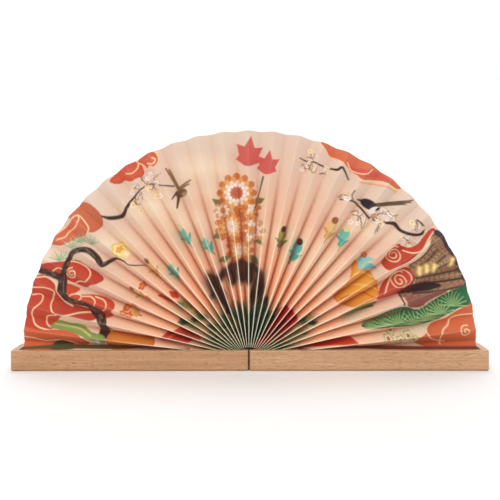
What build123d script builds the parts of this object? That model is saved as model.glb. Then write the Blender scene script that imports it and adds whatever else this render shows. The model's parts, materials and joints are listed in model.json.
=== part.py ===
from build123d import *
import math
import os

# A half-round fan: a pleated paper leaf that stands in a hinged wooden case.
#
# The case is two equal hollow halves. Open, they lie end to end along X and the
# leaf stands on them in a half circle. Closed, the right half has swung over onto
# the left one, rim to rim, and the leaf lies folded flat inside.
#
# Millimetres, +Z up, X along the case, the printed side of the leaf faces -Y.
# The origin is the middle of the surface that the open case stands on.

# ---- driving dimensions ------------------------------------------------------

half_length = 236.5         # one case half, along X
case_depth = 30.0           # along Y
case_height = 20.0          # underside to rim
seam_gap = 1.4              # between the two halves' end faces
front_wall = 5.0            # front and back walls of the pocket
seam_wall = 4.8             # end wall that carries the hinge
outer_wall = 6.5            # end wall at the far end
pocket_depth = 7.5          # rim to pocket floor

outer_corner_r = 3.0        # upright edges at the far end
seam_corner_r = 2.0         # upright edges at the seam
outer_foot_r = 3.5          # bottom edge at the far end
seam_foot_r = 2.5           # bottom edge at the seam
long_foot_r = 2.0           # bottom edges along the case
rim_r = 0.5                 # all edges of the rim
pocket_corner_r = 2.0       # upright edges inside the pocket

rim_clearance = 0.1         # hinge axis above the rim: half the closed case's gap

pleat_count = 28            # pleats in the half circle
leaf_inner = 10.8           # hinge axis to the leaf's inner end, along a ridge
leaf_outer = 228.4          # hinge axis to the leaf's outer end, along a ridge
leaf_drop = 9.3             # how far the top ridge sits below the hinge's centre
panel_width = 15.0          # paper between a ridge and a valley
plate_thick = 0.25          # one folded pleat, two sheets of paper

hinge_width = 18.6          # along Y, over the outer knuckles
knuckle_r = 1.1
pin_r = 0.5
pin_clearance = 0.05
pin_head_r = 0.9
pin_head_thick = 0.35
knuckle_count = 5
knuckle_gap = 0.3
leaf_plate_thick = 0.9      # metal of the hinge leaves
leaf_plate_reach = 4.7      # hinge axis to the leaves' far edges
recess_clearance = 0.1      # hinge leaf to the wood around it
knuckle_relief = 0.3        # knuckles to whatever turns past them

screw_spacing = 10.4
screw_x = 3.1
screw_shank_r = 0.45
screw_head_r = 0.95
screw_length = 7.0
screw_slot_wide = 0.25
screw_slot_deep = 0.2
screw_clearance = 0.04

pad_thick = 0.55
pad_bottom = 2.8            # height of the pad's lower edge
pad_side_margin = 2.2       # pad edge to the front and back of the case
pad_rim_margin = 0.4
pad_corner_r = 1.5

magnet_wide = 12.0          # along Y
magnet_high = 3.5
magnet_thick = 2.2          # into the wall
magnet_below_rim = 1.5

# ---- worked out from them ----------------------------------------------------

axis_z = case_height + rim_clearance
pocket_floor = case_height - pocket_depth
seam_x = seam_gap / 2
outer_x = seam_x + half_length
pocket_start = seam_x + seam_wall
pocket_end = outer_x - outer_wall
pocket_wide = case_depth - 2 * front_wall
pleat_angle = 180.0 / pleat_count
stack_half = axis_z - pocket_floor - plate_thick / 2
leaf_length = leaf_outer - leaf_inner
leaf_middle = (leaf_inner + leaf_outer) / 2


def block(x0, x1, y0, y1, z0, z1):
    """A box between two corners."""
    centre = Pos((x0 + x1) / 2, (y0 + y1) / 2, (z0 + z1) / 2)
    return centre * Box(x1 - x0, y1 - y0, z1 - z0)


def rod(radius, y0, y1, x=0.0, z=axis_z):
    """A round bar along Y."""
    return Pos(x, (y0 + y1) / 2, z) * Rot(90, 0, 0) * Cylinder(radius, y1 - y0)


def left(shape):
    """The mirror image of a right-hand piece."""
    return mirror(shape, about=Plane.YZ)


# ---- case --------------------------------------------------------------------


def case_block():
    """The outside of the right half, with its rounded ends and feet."""
    wood = block(seam_x, outer_x, -case_depth / 2, case_depth / 2, 0, case_height)
    uprights = wood.edges().filter_by(Axis.Z).group_by(Axis.X)
    wood = fillet(uprights[-1], outer_corner_r)
    uprights = wood.edges().filter_by(Axis.Z).group_by(Axis.X)
    wood = fillet(uprights[0], seam_corner_r)
    wood = fillet(wood.faces().sort_by(Axis.Z)[0].edges(), long_foot_r)

    feet = block(seam_x, outer_x, -case_depth, case_depth, 0, case_height)
    ends = feet.edges().filter_by(Axis.Y).group_by(Axis.Z)[0].sort_by(Axis.X)
    feet = fillet(ends[1], outer_foot_r)
    ends = feet.edges().filter_by(Axis.Y).group_by(Axis.Z)[0].sort_by(Axis.X)
    feet = fillet(ends[0], seam_foot_r)
    return wood & feet


def pocket():
    """The space that the folded leaf lies in, milled down from the rim."""
    half_wide = pocket_wide / 2
    space = block(pocket_start, pocket_end, -half_wide, half_wide, pocket_floor, case_height)
    return fillet(space.edges().filter_by(Axis.Z), pocket_corner_r)


def case_half():
    """The right half of the case, with everything that is cut into it."""
    wood = case_block() - pocket()
    wood = fillet(wood.faces().sort_by(Axis.Z)[-1].edges(), rim_r)

    reach = leaf_plate_reach + recess_clearance
    across = hinge_width / 2 + pin_head_thick + knuckle_relief
    seat_z = case_height - leaf_plate_thick
    wood -= block(0, reach, -across, across, seat_z, case_height + 1)
    wood -= rod(knuckle_r + knuckle_relief, -across, across)
    for y in (-screw_spacing / 2, screw_spacing / 2):
        depth = screw_length + 0.5
        hole = Cylinder(screw_shank_r + screw_clearance, depth)
        wood -= Pos(screw_x, y, case_height - depth / 2) * hole

    wood -= magnet(clearance=0.05)
    return wood


def magnet(clearance=0.0):
    """A bar magnet, set into the pocket side of the far end wall, under the rim."""
    top = case_height - magnet_below_rim + clearance
    bottom = case_height - magnet_below_rim - magnet_high - clearance
    half_wide = magnet_wide / 2 + clearance
    far = pocket_end + magnet_thick + clearance
    bar = block(pocket_end, far, -half_wide, half_wide, bottom, top)
    return bar


def end_pad():
    """Thin black felt on the end face at the seam, cut away around the hinge."""
    half_wide = case_depth / 2 - pad_side_margin
    top = case_height - pad_rim_margin
    pad = block(seam_x - pad_thick, seam_x, -half_wide, half_wide, pad_bottom, top)
    pad = fillet(pad.edges().filter_by(Axis.X), pad_corner_r)
    clear_z = axis_z - knuckle_r - 2 * knuckle_relief
    clear_y = hinge_width / 2 + pin_head_thick + 2 * knuckle_relief
    return pad - block(0, seam_x + 1, -clear_y, clear_y, clear_z, case_height + 1)


# ---- hinge -------------------------------------------------------------------


def knuckle_spans():
    """Where each knuckle starts and ends along Y, front to back."""
    pitch = (hinge_width + knuckle_gap) / knuckle_count
    starts = [-hinge_width / 2 + i * pitch for i in range(knuckle_count)]
    return [(y, y + pitch - knuckle_gap) for y in starts]


def countersink(clearance=0.0):
    """The head of a countersunk screw, flush with the rim, or its seat."""
    height = screw_head_r - screw_shank_r
    cone = Cone(screw_shank_r + clearance, screw_head_r + clearance, height)
    return Pos(screw_x, 0, case_height - height / 2) * cone


def hinge_leaf(first_knuckle):
    """A right-hand hinge leaf that carries every second knuckle."""
    half_wide = hinge_width / 2
    seat_z = case_height - leaf_plate_thick
    plate = block(0, leaf_plate_reach, -half_wide, half_wide, seat_z, case_height)
    corners = plate.edges().filter_by(Axis.Z).group_by(Axis.X)[-1]
    plate = fillet(corners, 0.8)
    spans = knuckle_spans()
    for index, (y0, y1) in enumerate(spans):
        if index % 2 == first_knuckle:
            plate += rod(knuckle_r, y0, y1)
        else:
            gap = knuckle_gap
            plate -= rod(knuckle_r + knuckle_relief, y0 - gap, y1 + gap)
    plate -= rod(pin_r + pin_clearance, -half_wide - 1, half_wide + 1)
    for y in (-screw_spacing / 2, screw_spacing / 2):
        hole = Cylinder(screw_shank_r + screw_clearance, 4)
        plate -= Pos(screw_x, y, case_height - 2) * hole
        plate -= Pos(0, y, 0) * countersink(screw_clearance)
    return plate


def hinge_screws():
    """Two countersunk screws, slotted."""
    screws = []
    for y in (-screw_spacing / 2, screw_spacing / 2):
        shank = Pos(screw_x, y, case_height - screw_length / 2)
        screw = Pos(0, y, 0) * countersink() + shank * Cylinder(screw_shank_r, screw_length)
        slot = Box(3 * screw_head_r, screw_slot_wide, 2 * screw_slot_deep)
        screws.append(screw - Pos(screw_x, y, case_height) * slot)
    return Compound(children=screws)


def hinge_pin():
    """The pin, with a peened head at each end."""
    half = hinge_width / 2
    pin = rod(pin_r, -half, half)
    pin += rod(pin_head_r, half + 0.05, half + 0.05 + pin_head_thick)
    pin += rod(pin_head_r, -half - 0.05 - pin_head_thick, -half - 0.05)
    return pin + rod(pin_r, -half - 0.1, half + 0.1)


# ---- leaf --------------------------------------------------------------------


def pleat(k):
    """Folded pleat k as a thin plate, where its ridge lies in the open fan.

    Closed, the plates are a level stack that fills the case from floor to floor, and
    plate k is k steps up it. Opened, plate k has turned k pleat angles about the hinge,
    has kept its step as an offset square to itself, and has sunk by the drop, which is
    largest for the upright plate.
    """
    angle = k * pleat_angle
    turn = math.radians(angle)
    step = -stack_half * (1 - 2 * k / pleat_count)
    plate = Pos(-leaf_middle, 0, step) * Box(leaf_length, panel_width, plate_thick)
    sunk = axis_z - leaf_drop * math.sin(turn)
    return Pos(0, 0, sunk) * Rot(0, angle, 0) * plate


def leaf_end():
    """The leaf's last panel, glued flat on the pocket floor of the right half."""
    z = pocket_floor + plate_thick / 2
    return Pos(leaf_middle, 0, z) * Box(leaf_length, panel_width, plate_thick)


# ---- write every node --------------------------------------------------------

nodes = {
    "case_half_right": case_half(),
    "hinge_leaf_right": hinge_leaf(first_knuckle=1),
    "hinge_leaf_left": left(hinge_leaf(first_knuckle=0)),
    "hinge_pin": hinge_pin(),
}
nodes["case_half_left"] = left(nodes["case_half_right"])

for name, piece in {
    "hinge_screws": hinge_screws(),
    "end_pad": end_pad(),
    "magnet": magnet(),
    "leaf_end": leaf_end(),
}.items():
    nodes[name + "_right"] = piece
    nodes[name + "_left"] = left(piece)

for k in range(1, pleat_count):
    nodes[f"pleat_{k:02d}"] = pleat(k)

os.makedirs("parts", exist_ok=True)
for name, shape in nodes.items():
    export_step(shape, f"parts/{name}.step")
print(len(nodes), "nodes; hinge axis at z =", axis_z, "; stack half height", round(stack_half, 3))
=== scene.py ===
# %% [markdown]
# # A pleated picture fan that stands in its own wooden case
# A long paper leaf, folded into 28 pleats, is glued by its two end panels into the pockets
# of a hinged wooden case. Opened flat, the case becomes a stand and the leaf a half circle.
# The CAD model is loaded first and never touched, because every joint and fit is in it.

# %% Load the fixed frame
import json

import bpy
import numpy as np
from mathutils import Matrix, Vector


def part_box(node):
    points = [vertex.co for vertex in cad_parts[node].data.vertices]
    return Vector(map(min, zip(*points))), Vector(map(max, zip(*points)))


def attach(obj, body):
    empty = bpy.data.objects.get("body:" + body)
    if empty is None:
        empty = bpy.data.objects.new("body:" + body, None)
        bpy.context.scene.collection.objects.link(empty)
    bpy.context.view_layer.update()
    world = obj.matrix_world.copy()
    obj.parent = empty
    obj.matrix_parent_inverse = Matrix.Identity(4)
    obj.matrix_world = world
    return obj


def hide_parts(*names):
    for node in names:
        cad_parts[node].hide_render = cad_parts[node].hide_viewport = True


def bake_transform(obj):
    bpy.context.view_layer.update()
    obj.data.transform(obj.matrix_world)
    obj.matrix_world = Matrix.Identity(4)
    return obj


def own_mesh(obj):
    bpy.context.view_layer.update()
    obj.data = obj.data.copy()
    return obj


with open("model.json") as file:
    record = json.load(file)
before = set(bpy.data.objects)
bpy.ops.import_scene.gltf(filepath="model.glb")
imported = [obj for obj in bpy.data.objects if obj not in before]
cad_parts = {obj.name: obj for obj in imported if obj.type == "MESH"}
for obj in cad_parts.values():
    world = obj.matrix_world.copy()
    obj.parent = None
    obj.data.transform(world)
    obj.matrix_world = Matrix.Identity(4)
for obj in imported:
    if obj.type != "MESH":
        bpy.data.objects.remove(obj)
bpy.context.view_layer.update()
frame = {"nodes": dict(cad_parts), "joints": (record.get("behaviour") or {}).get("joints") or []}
nodes = frame["nodes"]
MM = 0.001

# %% [markdown]
# ## Where the leaf is
# The leaf could be measured again here, but then it could disagree with the frame. So its
# sizes are read from the CAD nodes: the end panel gives the inner and outer edges and how
# deep the folded stack lies, the middle pleat gives the height and the width of a panel.

# %% Read the leaf's sizes from the frame
hinge = next(joint for joint in frame["joints"] if joint["name"] == "case_hinge")
pleats = 1 + sum(name.startswith("pleat_") for name in nodes)
end_low, end_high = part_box("leaf_end_left")
top_low, top_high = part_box(f"pleat_{pleats // 2:02d}")
axis_z = hinge["pos_m"][2]
inner_edge = -end_high.x
outer_edge = -end_low.x
end_level = (end_low.z + end_high.z) / 2
stack_depth = axis_z - end_level
drop = axis_z + outer_edge - top_high.z
panel_width = top_high.y - top_low.y
print(f"leaf: {pleats} pleats, {inner_edge / MM:.1f} to {outer_edge / MM:.1f} mm from the hinge,",
      f"panels {panel_width / MM:.1f} mm wide, top {drop / MM:.1f} mm lower than a half circle")

# %% [markdown]
# ## From a grid of points to a closed piece
# Paper has two sides and an edge. The Solidify modifier could give a sheet its thickness,
# but here both sides are worked out, so each side can carry its own colours. Two grids of
# the same shape are joined by walls around their border, which closes the shell.

# %% Helper that builds a closed shell from two grids
SHARP = np.radians(50)


def shell_quads(rows, columns):
    """Corner numbers of a shell: the front grid, the back grid turned over, and the border walls.

    Vertex number = row * columns + column, and the back's numbers follow the front's.
    """
    number = np.arange(rows * columns).reshape(rows, columns)
    grid = np.stack([number[:-1, :-1], number[:-1, 1:], number[1:, 1:], number[1:, :-1]], -1)
    grid = grid.reshape(-1, 4)
    border = np.concatenate([number[0, :-1], number[:-1, -1], number[-1, :0:-1], number[:0:-1, 0]])
    after = np.roll(border, -1)
    back = rows * columns
    walls = np.stack([after, border, border + back, after + back], -1)
    return np.concatenate([grid, grid[:, ::-1] + back, walls])


def new_shell(name, front, back, material):
    """A mesh object from two grids of points, rows x columns x 3, with its faces outwards."""
    rows, columns = front.shape[:2]
    points = np.concatenate([front.reshape(-1, 3), back.reshape(-1, 3)])
    quads = shell_quads(rows, columns)
    a, b, c, d = (points[quads[:, corner]] for corner in range(4))
    volume = (np.cross(b - a, c - a) * a).sum() + (np.cross(c - a, d - a) * a).sum()
    if volume < 0:
        quads = quads[:, ::-1]
    mesh = bpy.data.meshes.new(name)
    mesh.vertices.add(len(points))
    mesh.vertices.foreach_set("co", points.astype(np.float32).ravel())
    mesh.loops.add(quads.size)
    mesh.loops.foreach_set("vertex_index", quads.astype(np.int32).ravel())
    mesh.polygons.add(len(quads))
    mesh.polygons.foreach_set("loop_start", np.arange(0, quads.size, 4, dtype=np.int32))
    mesh.update(calc_edges=True)
    mesh.shade_smooth()
    mesh.set_sharp_from_angle(angle=SHARP)
    mesh.materials.append(material)
    piece = bpy.data.objects.new(name, mesh)
    bpy.context.scene.collection.objects.link(piece)
    return piece


def store(piece, name, kind, values):
    """Keeps one value per vertex on the piece: kind is FLOAT, or FLOAT_COLOR for a colour."""
    attribute = piece.data.attributes.new(name, kind, "POINT")
    field = "color" if kind == "FLOAT_COLOR" else "value"
    attribute.data.foreach_set(field, np.ascontiguousarray(values, np.float32).ravel())


# %% [markdown]
# ## A small language for finishes
# A finish is a network of shader nodes. Placing each node and wire by hand takes pages, so
# one class wraps a socket: arithmetic on two wrapped sockets adds a Math node, and one
# method adds any other node. A finish then reads like the formula that it is.

# %% Helper that writes shader nodes as expressions
class Socket:
    """One output of a shader node. Arithmetic on it adds Math nodes; node() adds any other kind."""

    def __init__(self, tree, output=None):
        self.tree = tree
        self.output = output

    def node(self, kind, settings=None, sockets=None, out=0):
        """Adds a node: its settings first, then a value or a link for each socket; gives an output."""
        node = self.tree.nodes.new("ShaderNode" + kind)
        for name, value in (settings or {}).items():
            if name == "stops":
                self.colour_stops(node.color_ramp.elements, value)
            else:
                setattr(node, name, value)
        for name, value in (sockets or {}).items():
            target = self.pick(node.inputs, name)
            if isinstance(value, Socket):
                self.tree.links.new(value.output, target)
            else:
                target.default_value = value
        return Socket(self.tree, self.pick(node.outputs, out))

    @staticmethod
    def pick(sockets, name):
        """The socket of that number, or the first one of that name that is in use."""
        if isinstance(name, int):
            return sockets[name]
        return next(socket for socket in sockets if socket.enabled and socket.name == name)

    @staticmethod
    def colour_stops(elements, stops):
        """Sets a ramp's stops, given in order as (position, colour)."""
        for element, (position, colour) in zip([elements[0], elements[-1]], [stops[0], stops[-1]]):
            element.position = position
            element.color = (*colour, 1)
        for position, colour in stops[1:-1]:
            elements.new(position).color = (*colour, 1)

    def maths(self, operation, *values):
        """Adds a Math node on these values or sockets."""
        return self.node("Math", {"operation": operation}, dict(enumerate(values)))

    def __add__(self, other):
        return self.maths("ADD", self, other)

    def __radd__(self, other):
        return self.maths("ADD", other, self)

    def __sub__(self, other):
        return self.maths("SUBTRACT", self, other)

    def __mul__(self, other):
        return self.maths("MULTIPLY", self, other)

    def __rmul__(self, other):
        return self.maths("MULTIPLY", other, self)

    def between(self, low, high, start=0.0, end=1.0):
        """Goes smoothly from start to end as the value goes from low to high."""
        span = {"From Min": low, "From Max": high, "To Min": start, "To Max": end}
        return self.node("MapRange", {"interpolation_type": "SMOOTHSTEP"}, {"Value": self, **span})

    def noise(self, scale, detail=3.0, roughness=0.5, distortion=0.0):
        """Cloudy noise on this vector; its scale is in lumps per unit of the vector."""
        values = {"Vector": self, "Scale": scale, "Detail": detail}
        values |= {"Roughness": roughness, "Distortion": distortion}
        return self.node("TexNoise", sockets=values)

    def stretched(self, scale, location=(0, 0, 0)):
        """This vector, with each axis scaled by its own factor and then shifted."""
        return self.node("Mapping", sockets={"Vector": self, "Scale": scale, "Location": location})

    def mix(self, first, second):
        """From one colour to another, by this value."""
        values = {"Factor": self, "A": first, "B": second}
        return self.node("Mix", {"data_type": "RGBA"}, values, "Result")


def new_material(name):
    """A new material, and the place where its network starts."""
    material = bpy.data.materials.new(name)
    material.use_nodes = True
    return material, Socket(material.node_tree)


def finish_material(material, steady, varying, height=None, depth=0.0):
    """Sets the shader's steady values, links what varies, and turns a height into a Bump in metres."""
    shader = material.node_tree.nodes["Principled BSDF"]
    for name, value in steady.items():
        shader.inputs[name].default_value = value
    if height is not None:
        varying = varying | {"Normal": height.node("Bump", sockets={
            "Height": height, "Distance": depth, "Strength": 1.0})}
    for name, value in varying.items():
        material.node_tree.links.new(value.output, shader.inputs[name])
    print("finish:", material.name, len(material.node_tree.nodes), "nodes")
    return material


def ink(red, green, blue):
    """A colour given as it looks on screen, 0 to 255, turned into the linear light of shaders."""
    screen = np.array([red, green, blue]) / 255
    return np.where(screen <= 0.04045, screen / 12.92, ((screen + 0.055) / 1.055) ** 2.4)


def rgba(red, green, blue):
    """The same colour as the four numbers that a shader's socket takes."""
    return (*ink(red, green, blue).tolist(), 1.0)


# %% [markdown]
# ## The shape of the leaf
# A fan's folds could be drawn as flat zigzag panels, but real paper turns over each fold in
# a small round. Across the leaf the profile is a belt round two small circles, one at the
# ridge in front and one at the valley behind. Along it the panels keep their width, so the
# pleats are deep near the hinge, where they are crowded, and shallower at the outer edge.

# %% Where each point of the leaf is
LENGTH_ROWS = 265
ARC_STEPS = 3
LINE_STEPS = 18
PAPER = 0.15 * MM
FOLD_RADIUS = 0.38 * MM
EDGE_DIP = 0.8 * MM
RIPPLE = 0.45 * MM


def place(fold, s):
    """x and z at distance s along fold number fold, which may be a fraction: 0 is the left end.

    The fold leans at the angle pi * fold / pleats, starts off the hinge line by its place in
    the closed stack, and sags by drop * sin(angle), as the paper's own pull makes it do.
    """
    angle = np.pi * fold / pleats
    lift = stack_depth * (2 * fold / pleats - 1)
    x = -s * np.cos(angle) + lift * np.sin(angle)
    z = axis_z + (s - drop) * np.sin(angle) + lift * np.cos(angle)
    return x, z


def belt(half_pitch, depth, radius):
    """A pleat's profile from ridge to valley to the next ridge, one row for each half pitch.

    Half of it goes round the ridge's circle, straight along the line that touches both
    circles, and round the valley's circle; the other half is its mirror image. With D
    between the centres, the line leans by
    atan2(depth - 2 radius, half pitch) + asin(2 radius / D).
    """
    centres = np.hypot(half_pitch, depth - 2 * radius)
    lean = np.arctan2(depth - 2 * radius, half_pitch) + np.arcsin(2 * radius / centres)
    turn = lean * np.linspace(0, 1, ARC_STEPS + 1)
    ridge = np.stack([radius * np.sin(turn) - half_pitch, radius * (1 - np.cos(turn)) - depth / 2])
    back = lean * np.linspace(1, 0, ARC_STEPS + 1)
    valley = np.stack([-radius * np.sin(back), depth / 2 - radius * (1 - np.cos(back))])
    run = np.linspace(0, 1, LINE_STEPS + 1)[1:-1]
    line = ridge[:, :, -1:] + run * (valley[:, :, :1] - ridge[:, :, -1:])
    half_x, half_y = np.concatenate([ridge, line, valley], 2)
    return np.hstack([half_x, -half_x[:, -2::-1]]), np.hstack([half_y, half_y[:, -2::-1]])


def ripple(fold, s):
    """How far the paper stands forward of its true fold, in metres: slow waves that grow with s."""
    growth = ((s - inner_edge) / (outer_edge - inner_edge)) ** 2
    waves = np.sin(2.3 * fold + 0.4) * np.sin(31 * s + 0.8 * fold) + 0.6 * np.sin(5.1 * fold + 70 * s)
    return RIPPLE * growth * waves


def pleat_surface(first):
    """The middle of the paper from fold first to the next one, and how far across each point is."""
    s = np.linspace(inner_edge, outer_edge, LENGTH_ROWS)[:, None]
    (x0, z0), (x1, z1) = place(first, s), place(first + 1, s)
    half_pitch = np.hypot(x1 - x0, z1 - z0) / 2
    depth = np.sqrt(panel_width**2 - half_pitch**2)
    across, y = belt(half_pitch, depth, np.minimum(FOLD_RADIUS, 0.35 * half_pitch))
    share = 0.5 + across / (2 * half_pitch)
    leaning = 3 * np.sin(np.pi * (first + 0.5) / pleats) - 2
    dip = EDGE_DIP * leaning * np.sin(np.pi * share) ** 2 * (s / outer_edge) ** 12
    x, z = place(first + share, s - dip)
    y = y + ripple(first + share, s)
    return np.stack([x, y, z], -1), share


def two_sides(middle, thickness):
    """The front and back of a sheet: its middle, moved half a thickness along the normal."""
    normal = np.cross(np.gradient(middle, axis=1), np.gradient(middle, axis=0))
    normal /= np.linalg.norm(normal, axis=-1, keepdims=True)
    normal *= -np.sign(normal[..., 1].sum())
    return middle + normal * thickness / 2, middle - normal * thickness / 2


middles, shares = zip(*(pleat_surface(first) for first in range(pleats)))
print("leaf points on each side:", sum(share.size for share in shares))

# %% [markdown]
# ## Printing the picture
# The leaf is printed before it is pleated: pale peach paper with red clouds, blossom
# branches, birds, pines and a pavilion. An image file would be the usual way, but this
# picture is painted by arithmetic on the leaf's own points, in millimetres from the hinge
# line. Each motif is a distance, to an ellipse or to a brush line, turned into a soft mask.

# %% Brushes
SHAPE_EDGE = 0.9
LINE_EDGE = 0.8
CONTOUR = 1.1
SHADE_REACH = 4
CURVE_STEPS = 6


class Print:
    """Colours laid one over another at scattered points of the leaf, in millimetres."""

    def __init__(self, x, z):
        self.x = x
        self.z = z
        self.radius = np.hypot(x, z)
        self.colour = np.ones((x.size, 3))
        self.marks = 0

    def lay(self, colour, mask, at=slice(None)):
        """Covers the chosen points with a colour, by a mask from 0 to 1."""
        self.marks += 1
        mask = np.clip(mask, 0, 1)[:, None]
        self.colour[at] = self.colour[at] * (1 - mask) + colour * mask

    def around(self, points, margin):
        """Numbers of the points within a margin of the box round some places."""
        low = points.min(0) - margin
        high = points.max(0) + margin
        inside = (self.x > low[0]) & (self.x < high[0]) & (self.z > low[1]) & (self.z < high[1])
        return np.flatnonzero(inside)

    def blot(self, colour, centre, radii, turn=0, edge=SHAPE_EDGE, strength=1.0, petals=0):
        """An ellipse turned by degrees. Petals make its rim wave in and out that many times."""
        radii = np.broadcast_to(radii, 2)
        at = self.around(np.array([centre]), radii.max() + edge)
        u, v = self.x[at] - centre[0], self.z[at] - centre[1]
        c, s = np.cos(np.radians(turn)), np.sin(np.radians(turn))
        reach = np.hypot((u * c + v * s) / radii[0], (v * c - u * s) / radii[1])
        if petals:
            reach = reach / (0.62 + 0.38 * np.abs(np.cos(petals * np.arctan2(v, u) / 2)))
        self.lay(colour, strength * (0.5 + (1 - reach) * radii.min() / edge), at)

    def line(self, colour, points, width, edge=LINE_EDGE, strength=1.0):
        """A brush line along a smooth curve. Its width is a number, or several, evenly spread."""
        path = smooth(points)
        widths = np.atleast_1d(width)
        half = np.interp(np.linspace(0, 1, len(path)), np.linspace(0, 1, len(widths)), widths) / 2
        at = self.around(path, half.max() + edge)
        gap = span_distance(self.x[at, None], self.z[at, None], path, half).min(1)
        self.lay(colour, strength * (0.5 - gap / edge), at)

    def shape(self, colour, outline, line=None, shade=None):
        """A smooth closed outline filled with a colour: shade darkens it towards the rim, and
        line draws its contour. A point is inside when a level ray from it cuts the outline an
        odd number of times. Gives the points near the shape, and how much each is inside."""
        path = smooth(outline, closed=True)
        at = self.around(path, 2)
        x, z = self.x[at, None], self.z[at, None]
        (x0, z0), (x1, z1) = path[:-1].T, path[1:].T
        cut = x0 + (x1 - x0) * (z - z0) / (z1 - z0 + 1e-9)
        inside = (((z0 > z) != (z1 > z)) & (x < cut)).sum(1) % 2 == 1
        gap = span_distance(x, z, path, np.zeros(len(path))).min(1) * np.where(inside, -1, 1)
        self.lay(colour, 0.5 - gap / SHAPE_EDGE, at)
        if shade is not None:
            self.lay(shade, np.where(gap < 0, 0.8 * np.exp(gap / SHADE_REACH), 0), at)
        if line is not None:
            self.lay(line, ((CONTOUR + LINE_EDGE) / 2 - np.abs(gap + 0.5)) / LINE_EDGE, at)
        return at, np.clip(0.5 - gap / SHAPE_EDGE, 0, 1)

    def hatch(self, colour, area, turn, pitch, dash, strength):
        """Rows of short strokes inside a painted shape: a wave across the rows, times one along
        them. Area is what shape() gave, and pitch and dash are the two wave lengths."""
        at, share = area
        c, s = np.cos(np.radians(turn)), np.sin(np.radians(turn))
        along = self.x[at] * c + self.z[at] * s
        across = self.z[at] * c - self.x[at] * s
        rows = 0.5 + 0.5 * np.sin(2 * np.pi * across / pitch)
        strokes = 0.6 + 0.4 * np.sin(2 * np.pi * along / dash)
        self.lay(colour, strength * share * rows * strokes, at)


def span_distance(x, z, path, half):
    """Distance from each point to each straight span of a path, less the path's half width."""
    start = path[:-1]
    along = np.diff(path, axis=0)
    share = ((x - start[:, 0]) * along[:, 0] + (z - start[:, 1]) * along[:, 1]) / (along**2).sum(1)
    share = np.clip(share, 0, 1)
    gap = np.hypot(x - start[:, 0] - share * along[:, 0], z - start[:, 1] - share * along[:, 1])
    return gap - half[:-1] - share * np.diff(half)


def smooth(points, closed=False):
    """A curve through the points, in short spans: each stretch is the cubic that leaves and
    arrives along its neighbours' chords (a Catmull-Rom curve)."""
    points = np.array(points, float)
    if closed:
        padded = np.vstack([points[-1:], points, points[:2]])
    else:
        padded = np.vstack([2 * points[0] - points[1], points, 2 * points[-1] - points[-2]])
    p0, p1, p2, p3 = (padded[i : len(padded) - 3 + i, None] for i in range(4))
    t = np.linspace(0, 1, CURVE_STEPS, endpoint=False)[:, None]
    curve = p1 + t * (p2 - p0) / 2 + t**2 * (p0 - 2.5 * p1 + 2 * p2 - p3 / 2)
    curve = curve + t**3 * (1.5 * (p1 - p2) + (p3 - p0) / 2)
    return np.vstack([curve.reshape(-1, 2), padded[-2:-1]])


def spiral(centre, radius, turns, start):
    """Points of a curl that winds in to its centre, its radius falling evenly with the angle."""
    t = np.linspace(0, 1, int(10 * turns) + 2)
    angle = np.radians(start) + 2 * np.pi * turns * t
    reach = radius * (1 - 0.85 * t)
    return np.stack([centre[0] + reach * np.cos(angle), centre[1] + reach * np.sin(angle)], 1)


def toward(degrees):
    """The unit vector at an angle: 0 is to the right, 90 is up."""
    angle = np.radians(degrees)
    return np.array([np.cos(angle), np.sin(angle)])


CREAM = ink(246, 214, 172)
CORAL = ink(212, 108, 76)
RED = ink(193, 70, 48)
BARK = ink(64, 42, 34)
PINK = ink(250, 236, 226)
TEAL = ink(84, 168, 150)
OLIVE = ink(120, 124, 60)
GOLD = ink(234, 168, 66)

picture = Print(
    np.concatenate([middle[..., 0].ravel() for middle in middles]) / MM,
    np.concatenate([middle[..., 2].ravel() - axis_z for middle in middles]) / MM,
)
blot, hatch, line, shape = picture.blot, picture.hatch, picture.line, picture.shape
print("colours:", picture.x.size, "points to paint")

# %% [markdown]
# ## The ground of the print
# The paper is tinted from pale peach at the rim to salmon near the hinge, with drifts of
# cream mist. A plain gradient would look like plastic, so slow waves of tone run through it.

# %% Paint the ground and the mist
def ground():
    """Peach outside, salmon inside: the share grows smoothly with the distance from the hinge."""
    share = np.clip((picture.radius - 60) / 150, 0, 1)
    picture.colour[:] = ink(255, 198, 156)
    picture.lay(ink(222, 197, 178), share**0.85)
    tone = np.sin(picture.x / 23 + np.sin(picture.z / 17)) * np.sin(picture.z / 29 + 1.1)
    picture.lay(ink(228, 176, 158), 0.22 * tone)
    # Lighter towards the bottom of the leaf: painted light.
    picture.lay(ink(255, 220, 186), 0.45 * np.clip(1 - picture.z / 50, 0, 1))
    for centre, radii in [((-48, 182), (26, 12)), ((-30, 160), (22, 8)), ((-8, 118), (34, 7)),
                          ((28, 114), (30, 6)), ((-96, 142), (26, 12)), ((-140, 106), (24, 10)),
                          ((70, 84), (30, 12)), ((60, 100), (20, 8)), ((118, 118), (30, 10)),
                          ((-190, 92), (20, 8)), ((-60, 128), (22, 10)), ((84, 60), (18, 10))]:
        blot(ink(242, 222, 194), centre, radii, edge=11, strength=0.5)


ground()
print("marks after the ground:", picture.marks)

# %% [markdown]
# ## Clouds
# Clouds of this old style are flat red shapes with cream contours and curls drawn in them.
# Piled up circles would look like bubbles, so each cloud is one smooth closed outline, and
# the ink is a little darker towards its rim, where a print block presses hardest.

# %% Paint the clouds
def curl(centre, radius, turns, start):
    """A cream curl inside a cloud."""
    line(CREAM, spiral(centre, radius, turns, start), 1.0)


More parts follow.
